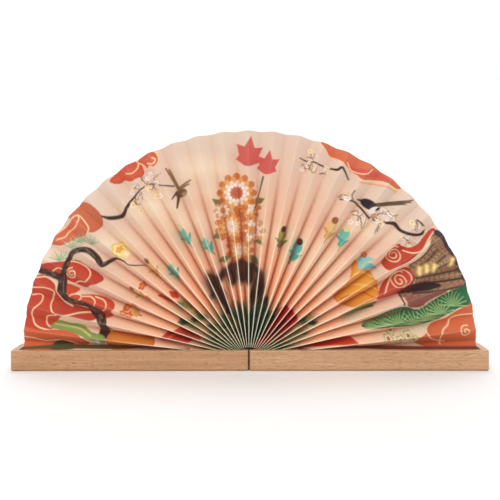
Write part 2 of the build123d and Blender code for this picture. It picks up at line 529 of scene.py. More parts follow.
def left_clouds():
    """The clouds round the old tree, from the rim down to the case."""
    shape(ink(202, 112, 78), [(-178, 146), (-165, 147), (-156, 142), (-149, 134), (-148, 126), (-153, 119),
        (-161, 117), (-175, 128), (-184, 134)], shade=ink(190, 96, 64))
    shape(CORAL, [(-204, 106), (-185, 124), (-177, 133), (-172, 134), (-166, 128), (-161, 120), (-165, 113),
        (-172, 110), (-181, 106), (-192, 102)], line=CREAM, shade=ink(196, 86, 58))
    line(CREAM, [(-173, 134), (-172, 129), (-176, 122), (-183, 117), (-186, 112), (-195, 109)], 1.1)
    shape(ink(208, 96, 66), [(-113, 188), (-107, 180), (-107, 174), (-113, 171), (-119, 168), (-126, 169),
        (-130, 166), (-137, 166), (-140, 170), (-128, 182)], shade=RED)
    line(CREAM, [(-124, 176), (-118, 176), (-113, 181), (-112, 186)], 1.0)
    shape(CORAL, [(-114, 188), (-107, 196), (-96, 199), (-91, 193), (-91, 187), (-95, 182), (-100, 183),
        (-102, 179), (-107, 184)], line=CREAM, shade=RED)
    line(CREAM, [(-102, 186), (-96, 186), (-94, 190), (-97, 192)], 1.4)
    shape(RED, [(-214, 82), (-205, 86), (-190, 87), (-176, 88), (-167, 83), (-152, 73), (-148, 68),
        (-153, 65), (-161, 63), (-166, 60), (-175, 63), (-191, 69), (-204, 76)], shade=ink(180, 50, 36))
    curl((-179, 75), 6, 1.7, 90)
    line(CREAM, [(-200, 77), (-193, 81), (-187, 80), (-184, 86), (-176, 86), (-165, 80), (-161, 73),
        (-165, 67), (-172, 67), (-179, 64), (-186, 67)], 1.1)
    shape(RED, [(-216, 72), (-206, 72), (-196, 64), (-193, 54), (-189, 46), (-170, 40), (-159, 36),
        (-154, 31), (-160, 28), (-185, 33), (-194, 28), (-200, 18), (-212, 16), (-228, 18), (-232, 34),
        (-222, 58)], shade=ink(180, 56, 40))
    line(CREAM, [(-216, 71), (-206, 71), (-196, 64), (-193, 54), (-189, 46), (-180, 41)], 1.1)
    line(CREAM, [(-221, 61), (-206, 61), (-197, 57), (-200, 50), (-201, 42), (-196, 35), (-186, 33),
        (-172, 35), (-160, 35)], 1.2)
    line(CREAM, [(-221, 53), (-212, 53), (-211, 46), (-219, 38), (-221, 30), (-216, 22), (-204, 18),
        (-196, 18)], 1.2)
    line(CREAM, [(-195, 33), (-204, 32), (-207, 26), (-203, 21), (-199, 22)], 1.1)
    shape(ink(204, 78, 46), [(-186, 64), (-176, 61), (-172, 58), (-176, 54), (-159, 53), (-147, 50),
        (-138, 45), (-136, 40), (-140, 36), (-139, 31), (-147, 30), (-159, 41), (-178, 45), (-187, 57)],
        shade=RED)
    line(CREAM, [(-183, 50), (-179, 54), (-172, 54), (-169, 51), (-172, 48)], 1.0)
    line(CREAM, [(-168, 52), (-160, 51), (-155, 46), (-158, 41)], 1.0)
    line(CREAM, [(-156, 51), (-147, 47), (-144, 41), (-149, 36)], 1.0)
    shape(ink(212, 106, 66), [(-232, 20), (-212, 18), (-196, 18), (-184, 17), (-174, 14), (-166, 8),
        (-164, 2), (-184, -2), (-232, -4)], shade=ink(204, 84, 52))
    line(CREAM, [(-230, 11), (-218, 9), (-207, 6), (-194, 7), (-184, 6), (-176, 3)], 1.1)


def right_clouds():
    """The band along the rim, two curled clouds beside the pavilion, and the corner cloud."""
    shape(ink(212, 112, 78), [(73, 208), (78, 198), (82, 192), (93, 187), (100, 180), (108, 174),
        (114, 168), (127, 167), (138, 165), (152, 158), (160, 166), (128, 194), (96, 210)], line=CREAM,
        shade=ink(206, 92, 62))
    shape(ink(204, 90, 76), [(101, 182), (106, 176), (116, 171), (130, 171), (146, 163), (136, 174),
        (124, 178), (112, 180)])
    line(CREAM, [(100, 186), (104, 179), (112, 175), (120, 175), (125, 179)], 1.1)
    line(ink(226, 156, 104), [(112, 166), (127, 164), (140, 161), (150, 156)], 1.4)
    shape(RED, [(135, 84), (139, 93), (144, 99), (151, 104), (157, 101), (163, 100), (171, 104), (178, 112),
        (185, 119), (189, 118), (184, 110), (176, 101), (166, 90), (157, 83), (148, 80), (140, 78)],
        shade=ink(184, 54, 38))
    curl((147, 93), 9, 2.3, 60)
    line(CREAM, [(156, 97), (165, 95), (174, 98), (181, 108), (187, 116)], 1.1)
    shape(ink(194, 72, 52), [(129, 48), (132, 58), (139, 67), (148, 76), (158, 80), (166, 77), (167, 70),
        (166, 63), (159, 57), (149, 52), (139, 49)], shade=ink(172, 44, 34))
    curl((152, 67), 9, 2.0, 60)
    line(CREAM, [(136, 54), (140, 62), (147, 72), (156, 77), (163, 73), (162, 65), (156, 60)], 1.0)
    line(CREAM, [(138, 76), (148, 80), (162, 86), (175, 97), (186, 112)], 1.2)
    shape(ink(208, 106, 66), [(166, 8), (177, 15), (180, 20), (188, 26), (198, 30), (205, 36), (215, 42),
        (234, 46), (236, -2), (200, -4), (172, 0)], line=CREAM, shade=ink(200, 84, 54))
    line(CREAM, [(178, 17), (182, 10), (190, 6), (198, 5)], 1.1)
    line(CREAM, [(194, 2), (193, 10), (195, 17), (201, 22), (205, 29), (213, 32), (226, 33)], 1.2)
    curl((218, 16), 6, 1.5, 70)


left_clouds()
right_clouds()
print("marks after the clouds:", picture.marks)

# %% [markdown]
# ## Trees, blossom and birds
# The branches are brush lines whose width changes along them. Blossom, needles and bark are
# one small mark repeated many times, so each is a function. Where the marks are scattered,
# the draw is seeded, so the picture comes out the same every time it is painted.

# %% Paint the trees and the birds
def blossom(spots, seed, size=3.2):
    """Small five-petalled flowers scattered a few millimetres round each spot."""
    chance = np.random.default_rng(seed)
    for spot in spots:
        for _ in range(4):
            centre = np.array(spot) + chance.normal(0, 3.2, 2)
            blot(ink(196, 150, 128), centre + 0.4, size * 0.95, petals=5, edge=1.2, strength=0.5)
            tone = PINK if chance.uniform() < 0.6 else ink(244, 222, 178)
            blot(tone, centre, size * chance.uniform(0.6, 1.1), petals=5, strength=0.9)
            blot(ink(176, 116, 72), centre, 0.8, edge=1.2, strength=0.7)
        for _ in range(2):
            twig = np.array(spot) + chance.normal(0, 3.4, (3, 2))
            line(ink(96, 68, 54), twig[np.argsort(twig[:, 0])], [1.1, 0.6], strength=0.75)


def needles(centre, reach, start, end, colours, count):
    """A fan of pine needles: lines from one point, evenly spread between two angles."""
    for step, angle in enumerate(np.linspace(start, end, count)):
        tip = np.array(centre) + reach * toward(angle)
        line(colours[step % len(colours)], [centre, tip], [1.3, 0.5], strength=0.9)


def rough_bark(path, count, spread, seed):
    """Short pale and dark strokes laid beside a brush line, along its own direction."""
    chance = np.random.default_rng(seed)
    curve = smooth(path)
    for start in chance.integers(0, len(curve) - 4, count):
        shift = chance.uniform(-spread, spread, 2)
        tone = [ink(128, 106, 92), ink(96, 74, 62), ink(34, 24, 22)][start % 3]
        line(tone, curve[start : start + 3] + shift, [1.1, 0.6], strength=0.75)


def trees():
    """The old trunk at the left with its boughs, and the blossom branches above."""
    for tuft in [(-171, 106), (-160, 104), (-178, 101), (-192, 88)]:
        needles(tuft, 11, 20, 160, [ink(122, 160, 120), ink(176, 190, 150)], 9)
    bough = [(-191, 69), (-186, 79), (-184, 88), (-180, 95), (-172, 99), (-163, 98), (-154, 91), (-148, 84),
        (-141, 87), (-134, 90), (-126, 88), (-120, 84), (-104, 82)]
    line(BARK, bough, [7, 5.5, 5, 5, 5.5, 5.5, 5, 5, 4, 3, 2, 1.3, 0.8])
    foot = [(-213, 78), (-202, 74), (-191, 69), (-189, 58), (-185, 49), (-176, 45), (-166, 43), (-158, 37),
        (-149, 28), (-147, 14)]
    line(BARK, foot, [6, 6, 8, 9, 8, 6, 6, 7, 8, 11])
    line(BARK, [(-149, 22), (-143, 20), (-139, 17)], [4, 2, 1])
    rough_bark(foot, 90, 2.6, 11)
    rough_bark(bough[:9], 50, 1.7, 12)
    upper = [(-148, 133), (-139, 131), (-129, 133), (-123, 141), (-119, 149), (-113, 156)]
    line(BARK, upper, [2, 4, 4.5, 3.5, 2.2, 1.5])
    line(BARK, [(-113, 156), (-101, 165), (-88, 164), (-76, 163)], [1.5, 1.3, 1.2, 1.6])
    blossom([(-116, 146), (-112, 160), (-104, 167), (-97, 171), (-95, 160), (-110, 151)], 3)
    right = [(52, 191), (59, 188), (66, 187), (72, 184), (84, 180), (90, 179), (95, 181), (102, 169)]
    line(BARK, right, [1, 1.4, 1.6, 1.6, 2, 2.8, 2.4, 1.4])
    blossom([(66, 193), (58, 184), (76, 179), (64, 181)], 5, 2.6)
    lower = [(93, 149), (106, 147), (113, 141), (121, 131), (135, 126), (148, 124), (154, 117), (167, 113),
        (176, 114), (177, 121), (170, 128)]
    line(BARK, lower, [1.2, 1.8, 2.2, 2.2, 2.2, 4.2, 3.2, 3.2, 3, 2, 1.4])
    line(BARK, [(106, 147), (104, 153), (107, 158)], 1.0)
    blossom([(100, 153), (110, 133), (128, 130), (138, 134), (146, 133), (164, 106), (160, 108), (132, 122),
        (170, 124), (114, 128)], 7, 2.8)


def birds():
    """Two small birds, each made of a few ellipses for the body and lines for the feathers."""
    for tip in [(-84, 181), (-81, 180), (-79, 177), (-59, 169), (-62, 167), (-60, 165)]:
        line(ink(138, 106, 72), [(-71, 160), tip], [3.4, 1.6])
    blot(ink(120, 86, 58), (-68, 156), (6.5, 4), turn=25)
    blot(ink(172, 140, 104), (-65, 155), (3, 2.2), turn=25)
    line(ink(92, 66, 48), [(-71, 153), (-72, 141)], [3.2, 1.6])
    line(ink(92, 66, 48), [(-73, 157), (-77, 150)], [2.4, 1.2])
    for tip in [(166, 148), (164, 146), (158, 144)]:
        line(ink(96, 76, 54), [(127, 143), tip], [4, 1.2])
    blot(ink(38, 28, 36), (121, 144), (8, 5), turn=-30)
    blot(ink(240, 232, 224), (126, 138), (6, 3.2), turn=20)
    blot(ink(38, 28, 36), (131, 139), (3, 1.4), turn=30)
    line(ink(38, 28, 36), [(114, 148), (110, 149)], [2.2, 0.8])


trees()
birds()
print("marks after the trees and the birds:", picture.marks)

# %% [markdown]
# ## The pavilion and the pines
# The pavilion stands in the right-hand corner of the leaf and is cut off by its edge. Its
# tiers all follow one slope, so each is a line parallel to the one before, with dark marks
# along it for tiles. Drawing every plank under them would take pages, so the planks are two
# waves multiplied inside the outline.

# %% Paint the pavilion, the pines and the hills
def pavilion():
    """Roof, walls, lit windows and dark steps, tier by tier."""
    walls = [(186, 114), (196, 112), (208, 98), (218, 78), (224, 58), (196, 57), (176, 52), (154, 50),
        (155, 55), (168, 60), (167, 72), (163, 80), (173, 89), (180, 98)]
    area = shape(ink(160, 124, 90), walls)
    hatch(ink(92, 68, 54), area, 38, 3.4, 5.0, 0.8)
    hatch(ink(150, 92, 84), area, 12, 5.3, 7.1, 0.5)
    line(ink(66, 50, 52), [(190, 115), (197, 109), (206, 94), (214, 78), (221, 60)], 6)
    for row in range(7):
        low = np.array([163.0 + 3.2 * row, 82 - 1.3 * row])
        eave = [low, low + (13, 8), low + (22, 21 - 1.5 * row)]
        line(ink(176, 158, 104) if row % 2 else ink(86, 64, 50), eave, 1.6, strength=0.7)
        for tile in smooth(eave)[::2]:
            blot(ink(56, 42, 34), tile, 0.8, edge=LINE_EDGE, strength=0.7)
    for row in range(6):
        low = 74 - 4 * row
        tone = [ink(150, 104, 84), ink(88, 58, 52), ink(170, 132, 98), ink(72, 48, 44)][row % 4]
        line(tone, [(166, low), (190, low + 3), (218, low + 8)], 2.2, strength=0.85)
    for post in range(10):
        foot = np.array([168.0 + 5 * post, 62 + 0.9 * post])
        line(ink(104, 64, 58), [foot, foot + (1.5, 12)], 1.0, strength=0.7)
    for window in [(172, 77), (179, 79), (186, 80), (204, 86)]:
        pane = [np.array(window) - (0.6, 2.4), np.array(window) + (0.6, 2.4)]
        line(ink(222, 180, 110), pane, 6.2, edge=2.5, strength=0.6)
        line(ink(244, 214, 140), pane, 2.8, edge=1.6)
    line(ink(50, 32, 34), [(152, 54), (164, 58), (180, 61), (192, 62)], [3, 7, 8, 3])
    steps = shape(ink(158, 92, 82), [(158, 50), (172, 52), (192, 57), (200, 56), (184, 47), (176, 40),
        (164, 39), (160, 44)])
    hatch(ink(112, 52, 54), steps, 80, 3.2, 40, 0.8)
    line(ink(74, 48, 44), [(153, 52), (157, 42)], 1.6)


def pines():
    """Green pines at the right, with pale needles drawn over them, and small hills at the left."""
    fans = [((123, 20), 8), ((137, 22), 11), ((150, 24), 14), ((166, 22), 14), ((180, 27), 14),
            ((192, 34), 14), ((206, 42), 14)]
    shape(ink(52, 116, 76), [(114, 21), (125, 28), (144, 38), (157, 40), (170, 37), (183, 43), (195, 52),
        (208, 58), (222, 62), (224, 46), (206, 38), (193, 29), (180, 23), (166, 20), (144, 19), (125, 19)],
        shade=ink(34, 88, 58))
    for centre, reach in fans:
        needles(centre, reach, 0, 180, [ink(172, 200, 128), ink(36, 98, 62)], 21)
    line(ink(110, 150, 76), [(94, 33), (110, 39), (128, 44)], [2, 5, 3])
    line(ink(60, 110, 62), [(92, 31), (108, 36), (126, 41)], [1.5, 2.4, 1.5])
    shape(ink(152, 164, 88), [(-202, 20), (-194, 27), (-184, 24), (-172, 22), (-160, 15), (-148, 12),
        (-144, 7), (-150, 4), (-162, 9), (-174, 14), (-190, 18)], shade=ink(120, 142, 68))
    line(ink(232, 224, 150), [(-198, 23), (-186, 21), (-172, 18), (-160, 12)], 1.0, strength=0.7)
    shape(ink(62, 76, 40), [(-202, -2), (-197, 5), (-190, 7), (-182, 4), (-178, -2)])
    shape(ink(210, 130, 52), [(-142, 14), (-130, 15), (-116, 12), (-100, 10), (-96, 2), (-112, -2),
        (-142, -2)], shade=ink(196, 104, 36))


pavilion()
pines()
print("marks after the pavilion and the pines:", picture.marks)

# %% [markdown]
# ## Flowers and leaves
# A heap of orange and cream flowers fills the middle of the leaf, and small buds, leaves and
# flowers float round it. Copying one drawn flower would show, so a flower is a function of
# its place, its size and its colours, with a ring of petals for each colour.

# %% Paint the flowers
def flower(centre, size, tones):
    """Rings of five petals, one inside another, each turned against the one before."""
    for ring, tone in enumerate(tones):
        reach = size * (1 - ring / len(tones)) ** 0.8
        blot(tone, centre, reach, turn=17 * ring, petals=5)


def bloom(centre, size, tones, count):
    """A full flower: rings of round-tipped petals, outermost first. Each petal is a brush line
    that widens away from the middle, laid over a slightly larger darker one."""
    for ring, tone in enumerate(tones):
        reach = size * (1 - 0.85 * ring / len(tones))
        for angle in np.arange(count) * 360 / count + 13 * ring:
            way = toward(angle)
            petal = [centre + 0.2 * reach * way, centre + 0.85 * reach * way]
            widths = np.array([0.1, 0.26, 0.36, 0.3]) * reach
            line(tone * np.array([0.72, 0.6, 0.5]), petal, widths + 0.9, strength=0.75)
            line(tone, petal, widths, strength=0.92)


def sprig(centre, lean, tones, size):
    """A bud on a stem with two leaves, leaning by that many degrees."""
    way = toward(90 - lean)
    side = np.array([way[1], -way[0]])
    base = np.array(centre)
    line(ink(96, 104, 58), [base - size * way, base + 0.5 * size * way], [0.8, 1.2])
    line(tones[0], [base - 0.5 * size * way, base + 0.45 * size * side], [0.42 * size, 1.6])
    line(tones[0], [base - 0.2 * size * way, base - 0.42 * size * side], [0.42 * size, 1.6])
    blot(tones[1], base + 0.35 * size * way, (0.34 * size, 0.46 * size), turn=-lean)
    blot(tones[2], base + 0.8 * size * way, (0.22 * size, 0.26 * size), turn=-lean)


def maple(centre, size, turn, tone):
    """A five-pointed leaf: tapering lines from its middle, the longest straight ahead."""
    for angle, reach in [(0, 1), (48, 0.85), (-48, 0.85), (105, 0.6), (-105, 0.6)]:
        tip = np.array(centre) + size * reach * toward(90 - turn - angle)
        line(tone, [centre, tip], [size * 0.85, 0.6])


def flowers():
    """The heap of flowers, the two red leaves over it, and the small flowers round them."""
    fire = [ink(206, 122, 64), ink(232, 162, 94), ink(244, 204, 150), ink(252, 238, 222)]
    snow = [ink(218, 160, 108), ink(244, 222, 196), ink(252, 242, 230), ink(228, 164, 98)]
    for leaf in [[(-26, 142), (-36, 150)], [(6, 146), (16, 150)], [(-26, 116), (-36, 110)],
                 [(6, 112), (14, 104)], [(-20, 92), (-30, 86)], [(2, 92), (10, 84)]]:
        line(ink(112, 122, 64), leaf, [3, 6.5, 1])
    crown = fire[:2] + snow[1:3] + [ink(206, 110, 84)]
    for centre, size, tones, count in [((-9, 98), 14, fire, 9), ((3, 118), 14, snow, 9),
                                       ((-17, 122), 17, fire, 11), ((1, 141), 12, fire, 8),
                                       ((-12, 156), 20, crown, 12), ((-26, 138), 9, snow, 8)]:
        bloom(centre, size, tones, count)
    line(ink(96, 112, 92), [(15, 172), (11, 156), (6, 138)], [2.2, 1.4, 1.2])
    maple((0, 192), 21, 8, ink(204, 92, 84))
    maple((19, 182), 17, 10, ink(204, 92, 84))
    teal = (TEAL, ink(112, 186, 166), ink(222, 206, 148))
    amber = (ink(206, 158, 92), ink(226, 186, 124), ink(150, 84, 52))
    moss = (OLIVE, ink(172, 160, 90), BARK)
    dusk = (TEAL, ink(96, 186, 178), BARK)
    for centre, lean, tones, size in [((-64, 112), -35, teal, 13), ((-42, 103), -40, teal, 12),
                                      ((-97, 79), -35, amber, 13), ((-76, 77), -38, teal, 13),
                                      ((33, 109), 15, moss, 13), ((47, 96), 25, dusk, 14),
                                      ((82, 118), 28, amber, 14), ((95, 110), 25, teal, 13),
                                      ((-112, 54), -55, amber, 11), ((-118, 36), -65, amber, 10)]:
        sprig(centre, lean, tones, size)
    flower((-131, 99), 9, [ink(232, 196, 104), ink(246, 228, 164), ink(226, 170, 70)])
    flower((-124, 95), 5, [ink(238, 214, 150), ink(250, 236, 200)])
    for spot in [(-124, 40), (-117, 42), (-121, 33), (-127, 35), (-108, 62), (-102, 50)]:
        flower(spot, 3.6, [ink(204, 78, 44), ink(226, 140, 70)])
    for sliver in [[(-92, 52), (-82, 48), (-70, 40)], [(-80, 56), (-72, 50)], [(-66, 45), (-58, 39)]]:
        line(ink(204, 70, 44), sliver, [1.4, 4.5, 1.6])
    line(ink(206, 66, 36), [(-90, 8), (-78, 13), (-62, 15), (-50, 8)], [3, 8, 8, 3])
    line(ink(206, 66, 36), [(46, 0), (70, 4), (96, 7), (108, 4)], [3, 6, 8, 4])
    shape(GOLD, [(107, 88), (114, 80), (122, 77), (126, 70), (130, 66), (131, 58), (128, 50), (118, 44),
        (104, 41), (93, 43), (86, 50), (89, 57), (97, 63), (103, 74)], shade=ink(210, 114, 48))
    line(ink(240, 200, 104), [(98, 60), (108, 63), (120, 62), (129, 58)], 1.4)
    line(ink(240, 200, 104), [(106, 74), (114, 76), (124, 71)], 1.2)
    line(ink(204, 100, 44), [(92, 49), (104, 54), (116, 54), (127, 50)], 1.2)
    line(ink(142, 204, 196), [(111, 80), (116, 88), (125, 89)], [2, 8, 1.5])
    line(ink(104, 184, 176), [(113, 78), (121, 82), (129, 79)], [2, 7, 1.5])
    flower((117, 93), 3.6, [ink(196, 84, 60), ink(226, 140, 70)])
    for spot in [(144, 16), (140, 9), (160, 12), (166, 8), (152, 8)]:
        flower(spot, 5, [ink(176, 170, 84), ink(236, 226, 200), ink(206, 90, 66)])
    flower((-154, 4), 5, [ink(190, 200, 216), ink(238, 236, 230)])


flowers()
print("marks after the flowers:", picture.marks)

# %% [markdown]
# ## The dark heart of the picture
# Near the hinge the print is darkest: rocks in an arch, moss, teal and a wine-red patch. The
# pleats are so narrow there that drawn detail would be lost. So most of it is strokes that
# point away from the hinge, as the pleats do, over two soft green washes.

# %% Paint the dark heart
def radial_strokes(sector, reach, tones, chance, step):
    """Strokes that point away from the hinge, one every few degrees, each of its own length."""
    for angle in np.arange(*sector, step):
        way = toward(angle)
        low = reach[0] + chance.uniform(0, 8)
        high = reach[1] + chance.uniform(-12, 8)
        tone = tones[chance.integers(len(tones))]
        line(tone, [low * way, high * way], [1.2, 3.6, 3.6, 0.8], strength=0.85)


def flecks(spot, radii, tones, chance, count, spread, ends):
    """Short strokes that point away from the hinge, scattered over a share of an ellipse."""
    for _ in range(count):
        fleck = np.array(spot) + chance.uniform(-spread, spread, 2) * radii
        line(tones[chance.integers(len(tones))], [fleck * end for end in ends], [1, 3, 1], strength=0.8)


def hearth():
    """The dark heart of the print: rocks, wine red, moss and teal near the hinge, and a thin dark strip
    along the bottom edge, partly print and partly painted shadow where the leaf meets the case.
    """
    chance = np.random.default_rng(21)
    moss = [ink(104, 122, 68), ink(156, 144, 84), ink(74, 96, 56), ink(192, 164, 108)]
    brown = [ink(52, 30, 24), ink(88, 46, 28), ink(36, 26, 26), ink(120, 62, 38)]
    teal = [ink(38, 120, 104), ink(60, 106, 66), ink(30, 74, 72), ink(116, 134, 80)]
    wine = [ink(206, 34, 28), ink(186, 28, 24), ink(146, 26, 22)]
    rust = ink(198, 66, 40)
    blot(ink(150, 132, 78), (-4, 8), (60, 36), edge=16, strength=0.36)
    blot(ink(70, 96, 62), (0, 4), (44, 30), edge=12, strength=0.5)
    line(ink(92, 50, 32), [(-36, 52), (-31, 68), (-18, 80), (-4, 84), (8, 78), (14, 62), (12, 48)],
        [7, 9, 10, 10, 9, 7, 5], edge=3, strength=0.75)
    arch = [((-34, 60), (5, 15), 28), ((-27, 53), (4, 9), 20), ((-17, 73), (4.5, 9), 8),
            ((-7, 76), (3.5, 10), 4), ((0, 74), (4.5, 9), 0), ((9, 62), (4, 12), -8),
            ((14, 42), (4.5, 8), -14), ((4, 50), (2.5, 8), 0), ((-21, 40), (3, 9), 24)]
    banks = [((-58, 24), (12, 4), -24), ((-50, 33), (9, 4), -30), ((60, 27), (12, 4), 24),
             ((48, 14), (14, 4), 16), ((-66, 42), (8, 4), -35)]
    for spot, radii, turn in arch:
        blot(brown[1], spot, np.array(radii) * 1.25, turn=turn, edge=2.4)
        flecks(spot, radii, brown, chance, 5, 0.6, (0.95, 1.07))
    for spot, radii, turn in banks:
        blot(moss[1], spot, radii, turn=turn, edge=3, strength=0.8)
        flecks(spot, radii, moss, chance, 6, 0.8, (0.93, 1.06))
    shape(ink(200, 34, 30), [(24, 27), (34, 42), (44, 37), (49, 29), (42, 18), (28, 10), (18, 14)])
    radial_strokes((26, 50), (4, 46), wine, chance, 2.4)
    radial_strokes((110, 168), (0, 42), moss + teal[:1], chance, 2.6)
    radial_strokes((50, 112), (0, 46), teal, chance, 2.6)
    radial_strokes((2, 26), (0, 40), moss[:3] + [rust], chance, 2.6)
    shape(RED, [(-90, 10), (-78, 15), (-66, 16), (-52, 9), (-66, 5), (-84, 6)])
    line(ink(226, 112, 76), [(-84, 9), (-74, 12), (-62, 10)], 1.4)
    # A thin dark strip along the bottom edge of the leaf: partly print, partly painted shadow where the
    # paper goes down into the case.
    line(ink(96, 88, 48), [(-231, -1), (-190, 0), (-140, -1), (-96, 0), (-60, -1)], [2, 3.6, 3, 3.6, 1.5])
    line(ink(120, 64, 44), [(50, -2), (100, -1), (160, -2), (231, -1)], [2, 3, 3.4, 3])


hearth()
print("marks on the finished picture:", picture.marks)

# %% [markdown]
# ## Making the pleats
# Each pleat runs from one ridge, through a valley, to the next, so its two borders belong to two
# neighbouring bodies. It could ride on one of them, but the leaf would tear as the fan closes. Here each
# pleat but the last is built where it lies, its place baked into its points, and the CAD pleat that it
# replaces is hidden. The last pleat ends on the right case half, which no joint ties to the last ridge, so
# it rides there.

# %% Build the paper leaf
RIDGE_WEAR_AND_HIGHLIGHT = 1.0 * MM
RIDGE_WEAR_AND_HIGHLIGHT_MORE = 2.8
RIDGE_WEAR_AND_HIGHLIGHT_FADE = 35 * MM
PAINTED_VALLEY_SHADE_WIDTH = 2.5 * MM
SHOW_THROUGH = 0.06


def paint_piece(piece, front_colour, share, s):
    """Stores the print, the blank back, how near each point is to a ridge or valley, and a map."""
    back_colour = (1 - SHOW_THROUGH) * ink(238, 214, 190) + SHOW_THROUGH * front_colour
    colour = np.concatenate([front_colour, back_colour])
    store(piece, "ink", "FLOAT_COLOR", np.hstack([colour, np.ones((len(colour), 1))]))
    # Nearness to a ridge drives the pale ridge lines, partly rubbed wear and partly painted highlight.
    from_ridge = np.minimum(share, 1 - share) * 2 * panel_width
    wide = RIDGE_WEAR_AND_HIGHLIGHT * (1 + RIDGE_WEAR_AND_HIGHLIGHT_MORE * np.exp(-s / RIDGE_WEAR_AND_HIGHLIGHT_FADE))
    store(piece, "ridge", "FLOAT", np.tile(np.exp(-((from_ridge / wide) ** 2)).ravel(), 2))
    # Nearness to a valley drives the painted shade in the valleys.
    from_valley = panel_width - from_ridge
    store(piece, "valley", "FLOAT", np.tile(np.exp(-((from_valley / PAINTED_VALLEY_SHADE_WIDTH) ** 2)).ravel(), 2))
    from_hinge = np.broadcast_to(s / outer_edge, share.shape)
    store(piece, "reach", "FLOAT", np.tile(from_hinge.ravel(), 2))
    flat = np.stack([share * 2 * panel_width, np.broadcast_to(s, share.shape)], -1).reshape(-1, 2)
    corner = np.empty(len(piece.data.loops), np.int32)
    piece.data.loops.foreach_get("vertex_index", corner)
    layer = piece.data.uv_layers.new(name="paper")
    layer.data.foreach_set("uv", np.tile(flat, (2, 1))[corner].astype(np.float32).ravel())


paper, paper_start = new_material("printed_leaf_paper")
colours = np.split(picture.colour, np.cumsum([share.size for share in shares])[:-1])
distance = np.linspace(inner_edge, outer_edge, LENGTH_ROWS)[:, None]
for first, (middle, share, colour) in enumerate(zip(middles, shares, colours)):
    front, back = two_sides(middle, PAPER)
    piece = new_shell(f"leaf_pleat_{first + 1:02d}", front, back, paper)
    paint_piece(piece, colour, share, distance)
    if first == pleats - 1:
        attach(piece, "case_right")
        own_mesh(piece)
    else:
        left = "case_left" if first == 0 else f"ridge_{first:02d}"
        f"ridge_{first + 1:02d}"
        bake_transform(piece)
        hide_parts(f"pleat_{first + 1:02d}")
print("leaf:", pleats, "pleats,", len(piece.data.polygons), "faces each")

# %% [markdown]
# ## The two end panels
# The leaf's first and last panels are pasted down on the pocket floors. Each is one flat strip of the same
# paper and thickness as its neighbour, printed in one plain tint, at the level where the CAD model has it.

# %% Build the end panels
PANEL_COLUMNS = 19


def end_panel(side, body):
    """A flat strip from the inner to the outer edge: side is -1 at the left and 1 at the right."""
    across = np.linspace(-0.5, 0.5, PANEL_COLUMNS)[None, :]
    x = np.broadcast_to(side * distance, (LENGTH_ROWS, PANEL_COLUMNS))
    y = np.broadcast_to(across * panel_width, x.shape)
    strip = np.stack([x, y, np.full(x.shape, end_level - 0.5 * PAPER)], -1)
    front, back = two_sides(strip, PAPER)
    name = "left" if side < 0 else "right"
    panel = new_shell(f"leaf_end_panel_{name}", front, back, paper)
    tint = np.broadcast_to(ink(214, 124, 84), (x.size, 3))
    share = np.broadcast_to(across + 0.5, x.shape) / 2
    paint_piece(panel, tint, share, distance)
    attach(panel, body)
    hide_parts(f"leaf_end_{name}")


end_panel(-1, "case_left")
end_panel(1, "case_right")
print("end panels at", round(end_level / MM, 2), "mm")

# %% [markdown]
# ## The finish of the paper
# Art paper is never one flat colour: fibres lie in it, the ink sinks in unevenly, and along each ridge
# handling has rubbed the print down to the pale paper. The pale ridge lines near the hinge are also a
# painted highlight, and the valleys near the hinge are darkened with painted shade. The print comes from
# the points' own colours, and noise on the paper's own map, which folds with it, does the rest.

# %% Finish the printed paper
def finish_paper(material, start):
    """Print, mottled ink, pale ridges that are partly rubbed wear and partly a painted highlight, painted
    shade in the valleys, and a bump of fibres.
    """
    flat = start.node("UVMap", {"uv_map": "paper"})
    print_colour = start.node("Attribute", {"attribute_name": "ink"}, out="Color")
    ridge = start.node("Attribute", {"attribute_name": "ridge"}, out="Fac")
    valley = start.node("Attribute", {"attribute_name": "valley"}, out="Fac")
    reach = start.node("Attribute", {"attribute_name": "reach"}, out="Fac")
    fibre = flat.stretched((900, 260, 1)).noise(1.0, 4, 0.62, 0.6)
    cloud = flat.noise(60, 3, 0.55)
    speck = flat.noise(2600, 2, 0.5)
    mottle = 0.9 + 0.12 * fibre + 0.1 * cloud
    tone = start.node("CombineColor", sockets={0: mottle, 1: mottle, 2: mottle})
    inked = start.node("Mix", {"data_type": "RGBA", "blend_type": "MULTIPLY"},
                       {"Factor": 1.0, "A": print_colour, "B": tone}, "Result")
    # Painted shade: the valleys are darkened towards the hinge, where the pleats are deepest.
    painted_valley_shade = valley * reach.between(0.9, 0.5, 0.04, 0.7)
    with_painted_shade = painted_valley_shade.mix(inked, rgba(176, 84, 60))
    # Pale ridge lines near the hinge: partly print rubbed down to the paper, partly a painted highlight.
    rubbed = ridge * reach.between(0.72, 0.3, 0.04, 1.0) * speck.between(0.3, 0.6, 0.8, 1.0)
    colour = rubbed.mix(with_painted_shade, rgba(255, 240, 214))
    roughness = 0.62 + 0.16 * cloud + 0.1 * rubbed
    height = 0.6 * fibre + 0.4 * speck
    finish_material(material, {"Specular IOR Level": 0.28, "Sheen Weight": 0.08},
                    {"Base Color": colour, "Roughness": roughness}, height, 0.00012)


finish_paper(paper, paper_start)
